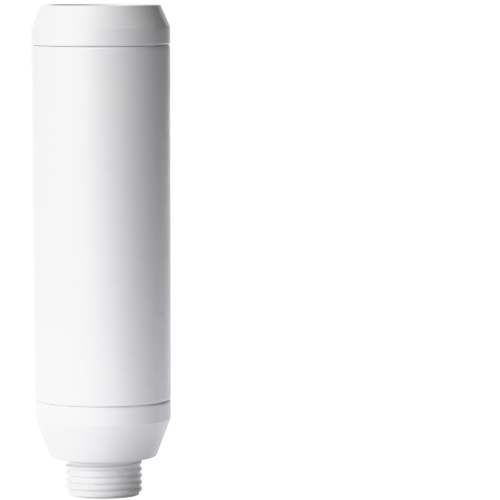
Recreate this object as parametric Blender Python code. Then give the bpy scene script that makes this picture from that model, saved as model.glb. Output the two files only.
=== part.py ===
"""Inline water filter for a caravan's hose or shower line.

A round housing holds two filter beds, packed between felts, screens and perforated plates.
The outlet cap closes the lower end and carries a male G 1/2 neck. At the upper end a wide
hand collar with a G 1/2 nut inside turns freely round the inlet tailpiece, and draws a pipe
end down onto the hose washer with its strainer.

The origin is the centre of the outlet neck's end face. +Z runs up the flow axis to the inlet.
Sizes are in millimetres here and in metres in the scene.
"""

import math

import bmesh
import bpy
from mathutils import Matrix, Vector

MM = 0.001

# Outside of the filter.
NECK_LENGTH = 10.5
SHOULDER_RADIUS = 14.5
CAP_BAND_LOW = 21.0
LOWER_SEAM = 26.1
HOUSING_RADIUS_LOW = 18.5
HOUSING_RADIUS_HIGH = 18.85
UPPER_SEAM = 122.6
COLLAR_BAND_TOP = 127.4
RIM_HEIGHT = 133.5
RIM_RADIUS = 16.2
RIM_BORE_RADIUS = 14.6
COLLAR_WALL = 1.6
COLLAR_INNER_BEND = 127.0
RIM_LAND = 0.6

# Fillets: at the upper seam and the rim, where a band meets its cone, at the neck's
# shoulder, in the cap's waterway, and along the small edges that hardly show.
SEAM_FILLET = 0.35
BEND_FILLET = 0.6
SHOULDER_FILLET = 0.5
WATERWAY_FILLET = 0.8
LEAD_FILLET = 0.4
EDGE_FILLET = 0.2
SLIP_RING_FILLET = 0.1

# G 1/2 pipe thread, 14 threads to the inch, with the shallow blunt form of a moulding.
THREAD_PITCH = 25.4 / 14
MALE_CREST_RADIUS = 10.48
MALE_ROOT_RADIUS = 9.65
FEMALE_CREST_RADIUS = 9.35
FEMALE_ROOT_RADIUS = 10.6
THREAD_ROOT_WIDTH = 1.3
THREAD_CREST_WIDTH = 0.6
THREAD_BURIED = 0.25
THREAD_RUN_OUT = 0.2
THREAD_LOWEST_RISE = 0.15
MALE_THREAD_LOW = 0.8
MALE_THREAD_START = 0.57
FEMALE_CHAMFER = 0.6

# Waterway, housing bore and the gap that two touching pieces keep.
GAP = 0.3
HOUSING_BORE_RADIUS = 16.3
INNER_RADIUS = HOUSING_BORE_RADIUS - GAP
NECK_BORE_RADIUS = 7.3
CAP_FLOOR = 13.5
CAP_CHAMBER_RADIUS = 12.4
CAP_CHAMBER_LOW = 15.5
SKIRT_TOP = 34.4

# O-rings, and the grooves that hold them.
GROOVE_WIDTH = 2.2
GROOVE_DEPTH = 1.8
LARGE_CORD_RADIUS = 0.8
CAP_GROOVE_LOW = 29.0
HEAD_GROOVE_LOW = 113.1
TAIL_GROOVE_LOW = 109.2
TAIL_GROOVE_WIDTH = 1.8
TAIL_GROOVE_DEPTH = 1.1
SMALL_CORD_RADIUS = 0.5

# Filter stack: each layer's thickness, from the outlet grid up to the spring plate.
GRID_THICKNESS = 3.0
SCREEN_THICKNESS = 0.4
OUTLET_FELT_THICKNESS = 3.0
CARBON_DEPTH = 38.9
FELT_THICKNESS = 2.5
COPPER_ZINC_DEPTH = 13.7
SPRING_PLATE_THICKNESS = 2.0
PLATE_HOLE_RADIUS = 1.6
PLATE_HOLE_CIRCLES = ((0.0, 1), (5.4, 6), (10.8, 12))

# Compression spring under the inlet head.
SPRING_WIRE_RADIUS = 0.7
SPRING_COIL_RADIUS = 13.0
SPRING_TURNS = 3.5

# Inlet head, a cup that closes the housing and gives the nut room to turn.
HEAD_LOW = 112.5
RECESS_FLOOR = 115.9
RECESS_RADIUS = 13.8
HUB_RADIUS = 10.5
HUB_LOW = 106.3
HUB_BORE_RADIUS = 7.9

# Tailpiece, slip ring and hose washer, stacked inside the nut.
TAIL_BARREL_RADIUS = 7.6
TAIL_BORE_RADIUS = 5.0
TAIL_FLANGE_RADIUS = 9.0
TAIL_FLANGE_THICKNESS = 1.5
SLIP_RING_THICKNESS = 0.8
HOSE_WASHER_THICKNESS = 2.2
HOSE_WASHER_BORE = 6.2
STRAINER_RADIUS = 6.9
STRAINER_THICKNESS = 0.3
STRAINER_SLOT_RADIUS = 7.2
STRAINER_HOLE_RADIUS = 0.65
STRAINER_HOLE_CIRCLES = ((0.0, 1), (2.5, 6), (4.8, 12))

# Swivel nut, with six notches that the collar's ribs drive.
NUT_LIP_THICKNESS = 1.8
NUT_CHAMBER_RADIUS = 9.5
NUT_CHAMBER_TOP = 123.5
NUT_TOP = 131.6
NUT_UPPER_RADIUS = 12.7
NUT_LOWER_RADIUS = 13.4
NUT_FLANGE_RADIUS = 16.9
NUT_FLANGE_LOW = 123.3
NUT_FLANGE_TOP = 125.3
RIB_COUNT = 6
RIB_WIDTH = 2.0
RIB_INNER_RADIUS = 15.7
RIB_LOW = 123.0
RIB_TOP = 126.6
CUTTER_OVERRUN = 0.5

# Facets, and the distance in millimetres under which two corners are one.
OUTER_STEPS = 40
INNER_STEPS = 24
THREAD_STEPS = 20
CORD_SIDES = 8
HOLE_SIDES = 8
FILLET_STEPS = 2
SHARP_ANGLE = math.radians(35)
SAME_PLACE = 0.0001

# Colour, roughness and metallic value of each finish.
FINISHES = {
    "white_plastic": ((0.86, 0.86, 0.87), 0.25, 0.0),
    "grey_plastic": ((0.70, 0.71, 0.73), 0.35, 0.0),
    "natural_plastic": ((0.82, 0.82, 0.78), 0.40, 0.0),
    "black_rubber": ((0.03, 0.03, 0.03), 0.60, 0.0),
    "steel": ((0.62, 0.62, 0.63), 0.28, 1.0),
    "white_felt": ((0.88, 0.87, 0.84), 0.95, 0.0),
    "carbon": ((0.02, 0.02, 0.02), 0.85, 0.0),
    "copper_zinc": ((0.60, 0.42, 0.16), 0.45, 0.9),
}


def clear_scene():
    for old in list(bpy.data.objects):
        bpy.data.objects.remove(old, do_unlink=True)


def give_material(part, finish):
    """Give the part a material of its own in the named finish."""
    colour, roughness, metallic = FINISHES[finish]
    material = bpy.data.materials.new(f"{part.name}_{finish}")
    material.use_nodes = True
    shader = material.node_tree.nodes["Principled BSDF"]
    shader.inputs["Base Color"].default_value = (*colour, 1.0)
    shader.inputs["Roughness"].default_value = roughness
    shader.inputs["Metallic"].default_value = metallic
    part.data.materials.append(material)


def add_object(name, shape):
    """Turn a bmesh that was drawn in millimetres into an object in the scene."""
    bmesh.ops.recalc_face_normals(shape, faces=shape.faces)
    bmesh.ops.scale(shape, vec=(MM, MM, MM), verts=shape.verts)
    mesh = bpy.data.meshes.new(name)
    shape.to_mesh(mesh)
    shape.free()
    mesh.shade_smooth()
    mesh.set_sharp_from_angle(angle=SHARP_ANGLE)
    part = bpy.data.objects.new(name, mesh)
    bpy.context.scene.collection.objects.link(part)
    return part


def add_guide(name, shape):
    """Make a shape that only adds to or cuts another one."""
    guide = add_object(name, shape)
    guide.hide_render = True
    guide.display_type = "WIRE"
    return guide


def combine(part, guide, operation):
    step = part.modifiers.new(guide.name, "BOOLEAN")
    step.operation = operation
    step.solver = "EXACT"
    step.object = guide


def rounded(outline):
    """Replace each (radius, height, fillet) corner of an outline by an arc."""
    points = []
    for index, corner in enumerate(outline):
        tip = Vector(corner[:2])
        if len(corner) == 2:
            points.append(tip)
            continue
        before = (Vector(outline[index - 1][:2]) - tip).normalized()
        after = (Vector(outline[(index + 1) % len(outline)][:2]) - tip).normalized()
        half_angle = before.angle(after) / 2
        centre = tip + (before + after).normalized() * corner[2] / math.sin(half_angle)
        reach = corner[2] / math.tan(half_angle)
        first = (tip + before * reach - centre).normalized()
        last = (tip + after * reach - centre).normalized()
        for step in range(FILLET_STEPS + 1):
            points.append(centre + corner[2] * first.slerp(last, step / FILLET_STEPS))
    return points


def turned(name, outline, finish, steps=INNER_STEPS):
    """Spin a closed outline of (radius, height) corners about Z into a solid."""
    shape = bmesh.new()
    corners = [shape.verts.new((point.x, 0.0, point.y)) for point in rounded(outline)]
    edges = []
    for first, second in zip(corners, corners[1:] + corners[:1]):
        if first.co.x > 0.0 or second.co.x > 0.0:
            edges.append(shape.edges.new((first, second)))
    bmesh.ops.spin(shape, geom=corners + edges, cent=(0, 0, 0), axis=(0, 0, 1),
                   angle=math.tau, steps=steps, use_duplicate=False)
    bmesh.ops.remove_doubles(shape, verts=shape.verts, dist=SAME_PLACE)
    part = add_object(name, shape)
    give_material(part, finish)
    return part


def disc(name, radius, low, high, finish):
    return turned(name, [(0.0, high), (radius, high), (radius, low), (0.0, low)], finish)


def o_ring(name, middle_radius, cord_radius, height):
    outline = []
    for side in range(CORD_SIDES):
        angle = -math.tau * side / CORD_SIDES
        outline.append((middle_radius + cord_radius * math.cos(angle),
                        height + cord_radius * math.sin(angle)))
    return turned(name, outline, "black_rubber")


def swept(shape, sections):
    """Skin a row of closed sections and cap both ends."""
    for lower, upper in zip(sections, sections[1:]):
        for side in range(len(lower)):
            after = (side + 1) % len(lower)
            shape.faces.new((lower[side], lower[after], upper[after], upper[side]))
    shape.faces.new(sections[0][::-1])
    shape.faces.new(sections[-1])


def thread_ridge(name, root_radius, crest_radius, low, high, start_turn):
    """Right-hand ridge whose ends sink into the root that it stands on."""
    shape = bmesh.new()
    buried = root_radius + math.copysign(THREAD_BURIED, root_radius - crest_radius)
    turns = (high - low) / THREAD_PITCH
    stations = round(turns * THREAD_STEPS)
    sections = []
    for station in range(stations + 1):
        turn = turns * station / stations
        rise = min(1.0, turn / THREAD_RUN_OUT, (turns - turn) / THREAD_RUN_OUT)
        crest = buried + (crest_radius - buried) * max(rise, THREAD_LOWEST_RISE)
        middle = low + THREAD_PITCH * turn
        heading = Matrix.Rotation(math.tau * (start_turn + turn), 4, "Z")
        corners = ((buried, -THREAD_ROOT_WIDTH), (crest, -THREAD_CREST_WIDTH),
                   (crest, THREAD_CREST_WIDTH), (buried, THREAD_ROOT_WIDTH))
        section = []
        for radius, width in corners:
            section.append(shape.verts.new(heading @ Vector((radius, 0.0, middle + width / 2))))
        sections.append(section)
    swept(shape, sections)
    return add_guide(name, shape)


def spokes(name, inner, outer, width, low, high):
    """Guide of equal blocks that point outwards, one for each rib or notch."""
    shape = bmesh.new()
    size = Matrix.Diagonal((outer - inner, width, high - low, 1.0))
    place = Matrix.Translation(((inner + outer) / 2, 0.0, (low + high) / 2))
    for index in range(RIB_COUNT):
        heading = Matrix.Rotation(math.tau * index / RIB_COUNT, 4, "Z")
        bmesh.ops.create_cube(shape, size=1.0, matrix=heading @ place @ size)
    return add_guide(name, shape)


def perforated_disc(name, radius, low, high, circles, hole_radius, finish):
    """Plate with its holes on circles of (radius, count); the drills are twice its depth."""
    plate = disc(name, radius, low, high, finish)
    shape = bmesh.new()
    for circle_radius, count in circles:
        for index in range(count):
            heading = Matrix.Rotation(math.tau * index / count, 4, "Z")
            place = Matrix.Translation((circle_radius, 0.0, (low + high) / 2))
            bmesh.ops.create_cone(shape, cap_ends=True, segments=HOLE_SIDES, radius1=hole_radius,
                                  radius2=hole_radius, depth=(high - low) * 2, matrix=heading @ place)
    combine(plate, add_guide(f"{name}_holes", shape), "DIFFERENCE")
    return plate


def groove(radius, depth, low, width):
    """Corners of a square groove in an outside wall, from its top down."""
    return [(radius, low + width), (radius - depth, low + width), (radius - depth, low),
            (radius, low)]


def make_housing():
    low = LOWER_SEAM + GAP / 2
    high = UPPER_SEAM - GAP / 2
    outline = [(HOUSING_RADIUS_HIGH, high, SEAM_FILLET), (HOUSING_RADIUS_LOW, low, EDGE_FILLET),
               (HOUSING_BORE_RADIUS, low), (HOUSING_BORE_RADIUS, high)]
    turned("housing_tube", outline, "white_plastic", OUTER_STEPS)


def make_outlet_cap():
    band_top = LOWER_SEAM - GAP / 2
    outline = [(INNER_RADIUS, SKIRT_TOP, LEAD_FILLET)]
    outline += groove(INNER_RADIUS, GROOVE_DEPTH, CAP_GROOVE_LOW, GROOVE_WIDTH)
    outline += [(INNER_RADIUS, band_top), (HOUSING_RADIUS_LOW, band_top, EDGE_FILLET),
                (HOUSING_RADIUS_LOW, CAP_BAND_LOW, BEND_FILLET),
                (SHOULDER_RADIUS, NECK_LENGTH, SHOULDER_FILLET),
                (MALE_ROOT_RADIUS, NECK_LENGTH), (MALE_ROOT_RADIUS, 0.0),
                (NECK_BORE_RADIUS, 0.0), (NECK_BORE_RADIUS, CAP_FLOOR, WATERWAY_FILLET),
                (CAP_CHAMBER_RADIUS, CAP_CHAMBER_LOW, WATERWAY_FILLET),
                (CAP_CHAMBER_RADIUS, SKIRT_TOP)]
    cap = turned("outlet_cap", outline, "white_plastic", OUTER_STEPS)
    ridge = thread_ridge("outlet_thread", MALE_ROOT_RADIUS, MALE_CREST_RADIUS,
                         MALE_THREAD_LOW, NECK_LENGTH - THREAD_ROOT_WIDTH, MALE_THREAD_START)
    combine(cap, ridge, "UNION")
    o_ring("outlet_cap_o_ring", INNER_RADIUS - LARGE_CORD_RADIUS, LARGE_CORD_RADIUS,
           CAP_GROOVE_LOW + GROOVE_WIDTH / 2)


def make_filter_stack():
    """Stack the layers on the cap's skirt and return the height of the spring plate's top."""
    height = SKIRT_TOP + GAP
    layers = (("outlet_grid", GRID_THICKNESS, "natural_plastic"),
              ("outlet_screen", SCREEN_THICKNESS, "steel"),
              ("outlet_felt", OUTLET_FELT_THICKNESS, "white_felt"),
              ("carbon_bed", CARBON_DEPTH, "carbon"),
              ("divider_felt", FELT_THICKNESS, "white_felt"),
              ("copper_zinc_bed", COPPER_ZINC_DEPTH, "copper_zinc"),
              ("inlet_felt", FELT_THICKNESS, "white_felt"),
              ("inlet_screen", SCREEN_THICKNESS, "steel"),
              ("spring_plate", SPRING_PLATE_THICKNESS, "grey_plastic"))
    for name, thickness, finish in layers:
        top = height + thickness
        if name in ("outlet_grid", "spring_plate"):
            perforated_disc(name, INNER_RADIUS, height, top, PLATE_HOLE_CIRCLES,
                            PLATE_HOLE_RADIUS, finish)
        else:
            disc(name, INNER_RADIUS, height, top, finish)
        height = top + GAP
    return height


def make_spring(low):
    """Wind a round wire between the spring plate and the inlet head."""
    shape = bmesh.new()
    first = low + SPRING_WIRE_RADIUS
    rise = HEAD_LOW - GAP - SPRING_WIRE_RADIUS - first
    stations = round(SPRING_TURNS * THREAD_STEPS)
    sections = []
    for station in range(stations + 1):
        share = station / stations
        heading = Matrix.Rotation(math.tau * SPRING_TURNS * share, 4, "Z")
        section = []
        for side in range(CORD_SIDES):
            angle = math.tau * side / CORD_SIDES
            radius = SPRING_COIL_RADIUS + SPRING_WIRE_RADIUS * math.cos(angle)
            height = first + rise * share + SPRING_WIRE_RADIUS * math.sin(angle)
            section.append(shape.verts.new(heading @ Vector((radius, 0.0, height))))
        sections.append(section)
    swept(shape, sections)
    give_material(add_object("compression_spring", shape), "steel")


def make_inlet_head():
    top = UPPER_SEAM - GAP
    outline = [(INNER_RADIUS, top, EDGE_FILLET)]
    outline += groove(INNER_RADIUS, GROOVE_DEPTH, HEAD_GROOVE_LOW, GROOVE_WIDTH)
    outline += [(INNER_RADIUS, HEAD_LOW, EDGE_FILLET), (HUB_RADIUS, HEAD_LOW),
                (HUB_RADIUS, HUB_LOW, LEAD_FILLET), (HUB_BORE_RADIUS, HUB_LOW),
                (HUB_BORE_RADIUS, RECESS_FLOOR), (RECESS_RADIUS, RECESS_FLOOR),
                (RECESS_RADIUS, top, EDGE_FILLET)]
    turned("inlet_head", outline, "grey_plastic")
    o_ring("inlet_head_o_ring", INNER_RADIUS - LARGE_CORD_RADIUS, LARGE_CORD_RADIUS,
           HEAD_GROOVE_LOW + GROOVE_WIDTH / 2)


def make_inlet_stack():
    """Tailpiece, slip ring and hose washer; each is lifted a gap above the one below."""
    slip_low = RECESS_FLOOR + 2 * GAP + NUT_LIP_THICKNESS
    flange_low = slip_low + SLIP_RING_THICKNESS + GAP
    flange_top = flange_low + TAIL_FLANGE_THICKNESS
    slip_top = slip_low + SLIP_RING_THICKNESS
    outline = [(TAIL_FLANGE_RADIUS, slip_top, SLIP_RING_FILLET),
               (TAIL_FLANGE_RADIUS, slip_low, SLIP_RING_FILLET),
               (HUB_BORE_RADIUS, slip_low), (HUB_BORE_RADIUS, slip_top)]
    turned("slip_ring", outline, "natural_plastic")

    outline = [(TAIL_FLANGE_RADIUS, flange_top, EDGE_FILLET),
               (TAIL_FLANGE_RADIUS, flange_low, EDGE_FILLET), (TAIL_BARREL_RADIUS, flange_low)]
    outline += groove(TAIL_BARREL_RADIUS, TAIL_GROOVE_DEPTH, TAIL_GROOVE_LOW, TAIL_GROOVE_WIDTH)
    outline += [(TAIL_BARREL_RADIUS, HUB_LOW, LEAD_FILLET), (TAIL_BORE_RADIUS, HUB_LOW),
                (TAIL_BORE_RADIUS, flange_top, LEAD_FILLET)]
    turned("tailpiece", outline, "grey_plastic")
    o_ring("tailpiece_o_ring", TAIL_BARREL_RADIUS - SMALL_CORD_RADIUS, SMALL_CORD_RADIUS,
           TAIL_GROOVE_LOW + TAIL_GROOVE_WIDTH / 2)
    make_hose_washer(flange_top + GAP)


def make_hose_washer(low):
    """Rubber washer with a slot round its bore, which holds the strainer's edge."""
    high = low + HOSE_WASHER_THICKNESS
    middle = (low + high) / 2
    slot = STRAINER_THICKNESS / 2 + GAP
    outline = [(TAIL_FLANGE_RADIUS, high, EDGE_FILLET), (TAIL_FLANGE_RADIUS, low, EDGE_FILLET),
               (HOSE_WASHER_BORE, low, EDGE_FILLET), (HOSE_WASHER_BORE, middle - slot),
               (STRAINER_SLOT_RADIUS, middle - slot), (STRAINER_SLOT_RADIUS, middle + slot),
               (HOSE_WASHER_BORE, middle + slot), (HOSE_WASHER_BORE, high, EDGE_FILLET)]
    turned("hose_washer", outline, "black_rubber")
    perforated_disc("strainer_screen", STRAINER_RADIUS, middle - STRAINER_THICKNESS / 2,
                    middle + STRAINER_THICKNESS / 2, STRAINER_HOLE_CIRCLES, STRAINER_HOLE_RADIUS,
                    "steel")


def make_swivel_nut():
    low = RECESS_FLOOR + GAP
    lip_top = low + NUT_LIP_THICKNESS
    outline = [(NUT_UPPER_RADIUS, NUT_TOP, LEAD_FILLET), (NUT_UPPER_RADIUS, NUT_FLANGE_TOP),
               (NUT_FLANGE_RADIUS, NUT_FLANGE_TOP, EDGE_FILLET),
               (NUT_FLANGE_RADIUS, NUT_FLANGE_LOW, EDGE_FILLET),
               (NUT_LOWER_RADIUS, NUT_FLANGE_LOW), (NUT_LOWER_RADIUS, low, LEAD_FILLET),
               (HUB_BORE_RADIUS, low), (HUB_BORE_RADIUS, lip_top), (NUT_CHAMBER_RADIUS, lip_top),
               (NUT_CHAMBER_RADIUS, NUT_CHAMBER_TOP), (FEMALE_ROOT_RADIUS, NUT_CHAMBER_TOP),
               (FEMALE_ROOT_RADIUS, NUT_TOP - FEMALE_CHAMFER),
               (FEMALE_ROOT_RADIUS + FEMALE_CHAMFER, NUT_TOP)]
    nut = turned("swivel_nut", outline, "grey_plastic")
    ridge = thread_ridge("inlet_thread", FEMALE_ROOT_RADIUS, FEMALE_CREST_RADIUS,
                         NUT_CHAMBER_TOP + THREAD_ROOT_WIDTH, NUT_TOP - THREAD_ROOT_WIDTH, 0.0)
    combine(nut, ridge, "UNION")
    notches = spokes("drive_notches", RIB_INNER_RADIUS - GAP, NUT_FLANGE_RADIUS + CUTTER_OVERRUN,
                     RIB_WIDTH + 2 * GAP, NUT_FLANGE_LOW - CUTTER_OVERRUN,
                     NUT_FLANGE_TOP + CUTTER_OVERRUN)
    combine(nut, notches, "DIFFERENCE")


def make_collar():
    """Hand collar: a thin shell with ribs inside that turn the nut."""
    low = UPPER_SEAM + GAP / 2
    bore = HOUSING_RADIUS_HIGH - COLLAR_WALL
    outline = [(RIM_RADIUS, RIM_HEIGHT, SEAM_FILLET),
               (HOUSING_RADIUS_HIGH, COLLAR_BAND_TOP, BEND_FILLET),
               (HOUSING_RADIUS_HIGH, low, SEAM_FILLET), (bore, low),
               (bore, COLLAR_INNER_BEND, LEAD_FILLET), (RIM_BORE_RADIUS, RIM_HEIGHT - RIM_LAND),
               (RIM_BORE_RADIUS, RIM_HEIGHT, SEAM_FILLET)]
    collar = turned("collar_shell", outline, "white_plastic", OUTER_STEPS)
    ribs = spokes("drive_ribs", RIB_INNER_RADIUS, bore + COLLAR_WALL / 2, RIB_WIDTH,
                  RIB_LOW, RIB_TOP)
    combine(collar, ribs, "UNION")


def main():
    clear_scene()
    make_housing()
    make_outlet_cap()
    spring_low = make_filter_stack()
    make_spring(spring_low)
    make_inlet_head()
    make_inlet_stack()
    make_swivel_nut()
    make_collar()


main()
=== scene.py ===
import math

import bpy
from mathutils import Matrix, Vector


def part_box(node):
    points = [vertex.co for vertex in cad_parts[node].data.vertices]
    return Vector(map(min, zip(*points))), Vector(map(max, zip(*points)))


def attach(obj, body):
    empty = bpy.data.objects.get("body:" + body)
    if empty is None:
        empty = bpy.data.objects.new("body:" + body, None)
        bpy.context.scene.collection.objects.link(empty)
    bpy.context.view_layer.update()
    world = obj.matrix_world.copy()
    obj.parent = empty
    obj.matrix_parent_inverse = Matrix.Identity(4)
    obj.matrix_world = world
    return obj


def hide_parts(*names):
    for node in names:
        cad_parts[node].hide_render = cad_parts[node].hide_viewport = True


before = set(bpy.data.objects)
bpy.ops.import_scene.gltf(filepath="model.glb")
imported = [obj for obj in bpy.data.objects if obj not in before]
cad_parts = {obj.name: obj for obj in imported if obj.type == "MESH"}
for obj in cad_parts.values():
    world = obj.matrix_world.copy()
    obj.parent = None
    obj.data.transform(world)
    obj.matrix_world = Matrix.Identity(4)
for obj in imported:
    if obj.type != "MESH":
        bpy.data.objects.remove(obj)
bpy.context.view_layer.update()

mm = 0.001               # lengths below are in millimetres unless a name says otherwise
tau = 2 * math.pi


class Wire:              # one output socket; arithmetic on it adds Math nodes
    def __init__(self, graph, socket):
        self.graph = graph
        self.socket = socket

    def of(self, name):  # another output of the same node
        return Wire(self.graph, self.socket.node.outputs[name])

    def __add__(self, other):
        return self.graph.math("ADD", self, other)

    def __radd__(self, other):
        return self.graph.math("ADD", other, self)

    def __sub__(self, other):
        return self.graph.math("SUBTRACT", self, other)

    def __rsub__(self, other):
        return self.graph.math("SUBTRACT", other, self)

    def __mul__(self, other):
        return self.graph.math("MULTIPLY", self, other)

    def __rmul__(self, other):
        return self.graph.math("MULTIPLY", other, self)

    def __truediv__(self, other):
        return self.graph.math("DIVIDE", self, other)


class Graph:             # a shader or geometry tree while it is being written
    def __init__(self, tree):
        self.tree = tree

    def node(self, kind, settings=None, inputs=None, output=0):
        made = self.tree.nodes.new(kind)
        for name, value in (settings or {}).items():
            setattr(made, name, value)
        for key, value in (inputs or {}).items():
            self.plug(made.inputs[key], value)
        return Wire(self, made.outputs[output]) if len(made.outputs) else made

    def plug(self, socket, value):
        if isinstance(value, Wire):
            self.tree.links.new(value.socket, socket)
        else:
            socket.default_value = value

    def math(self, operation, *values):
        return self.node("ShaderNodeMath", {"operation": operation}, dict(enumerate(values)))

    def vector(self, operation, *values):
        return self.node("ShaderNodeVectorMath", {"operation": operation}, dict(enumerate(values)))

    def ramp(self, value, low, high, lowOut=0.0, highOut=1.0):     # eased at both ends
        return self.node("ShaderNodeMapRange", {"interpolation_type": "SMOOTHSTEP"},
                         {"Value": value, "From Min": low, "From Max": high,
                          "To Min": lowOut, "To Max": highOut})


def geometryGraph(name, inputs):
    tree = bpy.data.node_groups.new(name, "GeometryNodeTree")
    tree.interface.new_socket("Geometry", in_out="INPUT", socket_type="NodeSocketGeometry")
    for label, kind in inputs.items():
        tree.interface.new_socket(label, in_out="INPUT", socket_type="NodeSocket" + kind)
    tree.interface.new_socket("Geometry", in_out="OUTPUT", socket_type="NodeSocketGeometry")
    graph = Graph(tree)
    given = graph.node("NodeGroupInput")
    return graph, given


def endTree(graph, given, geometry):   # every tree ends in plain geometry with a material
    real = graph.node("GeometryNodeRealizeInstances", None, {"Geometry": geometry})
    dressed = graph.node("GeometryNodeSetMaterial", None,
                         {"Geometry": real, "Material": given.of("Material")})
    graph.node("NodeGroupOutput", None, {"Geometry": dressed})
    return graph.tree


sharpAngle = math.radians(32)          # an edge that turns more than this is shaded sharp


def runTree(name, mesh, steps):        # steps: (tree, {input name: value}) run one after another
    source = bpy.data.objects.new(name + "Source", mesh)
    bpy.context.scene.collection.objects.link(source)
    for tree, values in steps:
        modifier = source.modifiers.new(tree.name, "NODES")
        modifier.node_group = tree
        for item in tree.interface.items_tree:
            if item.item_type == "SOCKET" and item.in_out == "INPUT" and item.name in values:
                modifier[item.identifier] = values[item.name]
    depsgraph = bpy.context.evaluated_depsgraph_get()
    finished = bpy.data.meshes.new_from_object(source.evaluated_get(depsgraph), depsgraph=depsgraph)
    finished.name = name
    bpy.data.objects.remove(source, do_unlink=True)
    finished.shade_smooth()
    finished.set_sharp_from_angle(angle=sharpAngle)
    return finished


def placePiece(name, mesh, body, node):
    piece = bpy.data.objects.new(name, mesh)
    bpy.context.scene.collection.objects.link(piece)
    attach(piece, body)
    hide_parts(node)
    print("made", name, len(mesh.polygons), "faces")


# an outline's corners are (radius, height) or (radius, height, fillet), down the outer side
outlineDetail = {"filletSteps": 7, "edgeHold": 0.12, "stretch": 2.0, "threadStep": 0.09,
                 "threadBand": 0.01}


def roundCorners(corners):
    points = []
    for index, corner in enumerate(corners):
        tip = Vector(corner[:2])
        if len(corner) == 2:
            points.append(tip)
            continue
        before = (Vector(corners[index - 1][:2]) - tip).normalized()
        after = (Vector(corners[(index + 1) % len(corners)][:2]) - tip).normalized()
        half = before.angle(after) / 2
        middle = tip + (before + after).normalized() * corner[2] / math.sin(half)
        first = (tip + before * corner[2] / math.tan(half) - middle).normalized()
        last = (tip + after * corner[2] / math.tan(half) - middle).normalized()
        for step in range(outlineDetail["filletSteps"] + 1):
            share = step / outlineDetail["filletSteps"]
            points.append(middle + corner[2] * first.slerp(last, share))
    return points


def fillStretches(points, closed, threadRadius, stretch):   # points that hold shading and thread
    filled = []
    threaded = []
    pairs = list(zip(points, points[1:] + points[:1]))
    for start, end in pairs if closed else pairs[:-1]:
        length = (end - start).length
        astray = max(abs(start.x - threadRadius), abs(end.x - threadRadius))
        inBand = astray < outlineDetail["threadBand"]
        parts = math.ceil(length / (outlineDetail["threadStep"] if inBand else stretch))
        shares = [number / parts for number in range(parts)]
        if length > 3 * outlineDetail["edgeHold"]:
            hold = outlineDetail["edgeHold"] / length
            shares = sorted(set([0.0, hold, 1 - hold] + [s for s in shares if hold < s < 1 - hold]))
        for share in shares:
            filled.append(start.lerp(end, share))
            threaded.append(1.0 if inBand else 0.0)
    filled.append(points[0] if closed else points[-1])
    threaded.append(threaded[0])
    return filled, threaded


def outlineMesh(name, corners, closed, threadRadius, stretch):
    points, threaded = fillStretches(roundCorners(corners), closed, threadRadius, stretch)
    mesh = bpy.data.meshes.new(name + "Outline")
    mesh.from_pydata([(p.x * mm, 0.0, p.y * mm) for p in points],
                     [(n, n + 1) for n in range(len(points) - 1)], [])
    mesh.attributes.new("threaded", "FLOAT", "POINT").data.foreach_set("value", threaded)
    return mesh


def turnedTree():        # spins an outline about Z and raises a helical thread where it is marked
    graph, given = geometryGraph("turned", {
        "Steps": "Int", "Pitch": "Float", "Depth": "Float", "Thread Low": "Float",
        "Thread High": "Float", "Start Turn": "Float", "Run Out": "Float",
        "Crest": "Float", "Groove": "Float", "Material": "Material"})
    outline = given.of("Geometry")
    steps = given.of("Steps")
    count = graph.node("GeometryNodeAttributeDomainSize", None, {"Geometry": outline}, "Point Count")
    rows = steps + 1.0
    grid = graph.node("GeometryNodeMeshGrid", None, {"Vertices X": count, "Vertices Y": rows})
    index = graph.node("GeometryNodeInputIndex")
    column = graph.math("FLOOR", (index + 0.5) / rows)
    heading = (index - column * rows) / steps
    position = graph.node("GeometryNodeInputPosition")
    point = graph.node("GeometryNodeSampleIndex", {"data_type": "FLOAT_VECTOR"},
                       {"Geometry": outline, "Value": position, "Index": column})
    mark = graph.node("GeometryNodeInputNamedAttribute", {"data_type": "FLOAT"},
                      {"Name": "threaded"})
    marked = graph.node("GeometryNodeSampleIndex", {"data_type": "FLOAT"},
                        {"Geometry": outline, "Value": mark, "Index": column})
    apart = graph.node("ShaderNodeSeparateXYZ", None, {"Vector": point})
    height = apart.of("Z")
    offset = (height - given.of("Thread Low")) / given.of("Pitch") - (heading - given.of("Start Turn"))
    nearest = graph.math("ROUND", offset)
    away = graph.math("ABSOLUTE", offset - nearest)
    turn = nearest + heading - given.of("Start Turn")
    turns = (given.of("Thread High") - given.of("Thread Low")) / given.of("Pitch")
    fadeIn = graph.ramp(turn / given.of("Run Out"), 0.0, 1.0)
    fadeOut = graph.ramp((turns - turn) / given.of("Run Out"), 0.0, 1.0)
    ridge = graph.ramp(away, given.of("Crest"), given.of("Groove"), 1.0, 0.0)
    radius = apart.of("X") + given.of("Depth") * ridge * fadeIn * fadeOut * marked
    place = graph.node("ShaderNodeCombineXYZ", None,
                       {"X": radius * graph.math("COSINE", heading * tau),
                        "Y": radius * graph.math("SINE", heading * tau), "Z": height})
    turned = graph.node("GeometryNodeSetPosition", None, {"Geometry": grid, "Position": place})
    closed = graph.node("GeometryNodeMergeByDistance", None,
                        {"Geometry": turned, "Distance": 0.0005 * mm})
    return endTree(graph, given, closed)


turned = turnedTree()
noThread = {"Pitch": 1.0, "Depth": 0.0, "Thread Low": 0.0, "Thread High": 1.0, "Start Turn": 0.0,
            "Run Out": 1.0, "Crest": 0.1, "Groove": 0.4}


def turnSteps(material, steps, thread=None):           # a thread's lengths come in millimetres
    values = dict(thread or noThread)
    for length in ("Pitch", "Depth", "Thread Low", "Thread High"):
        values[length] = values[length] * (mm if thread else 1.0)
    values["Steps"] = steps
    values["Material"] = material
    return turned, values


def boxOf(node):         # outer radius, foot and top of a node, in millimetres
    low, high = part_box(node)
    return high.x / mm, low.z / mm, high.z / mm


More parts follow.
